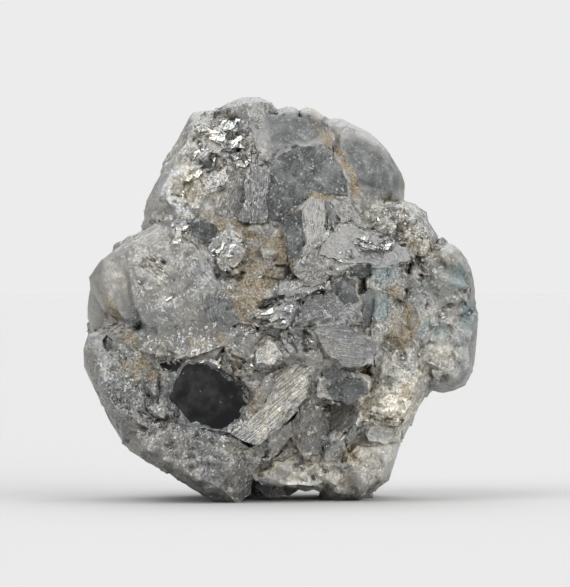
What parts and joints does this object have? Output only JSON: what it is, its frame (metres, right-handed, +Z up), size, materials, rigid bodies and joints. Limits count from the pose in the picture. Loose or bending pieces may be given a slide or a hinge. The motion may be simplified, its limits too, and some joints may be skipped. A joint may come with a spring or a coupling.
{
  "type": "rough diamond",
  "caption": "Rough natural diamond: grey, part-clear crystals with flat faces, grown together into one knobbly lump, standing on small flats.",
  "frame": {"origin": "middle of the stone's box in plan, on the plane it rests on", "axes": "+Z up as it stands, -Y out of the face that shows best, +X to the right of that face"},
  "size_m": [0.01, 0.008, 0.0102],
  "materials": {
    "diamond": "grey, cloudy and partly see-through crystal, frosted with bright flat faces"
  },
  "bodies": {
    "root": {"rough_diamond": "diamond"}
  },
  "joints": []
}
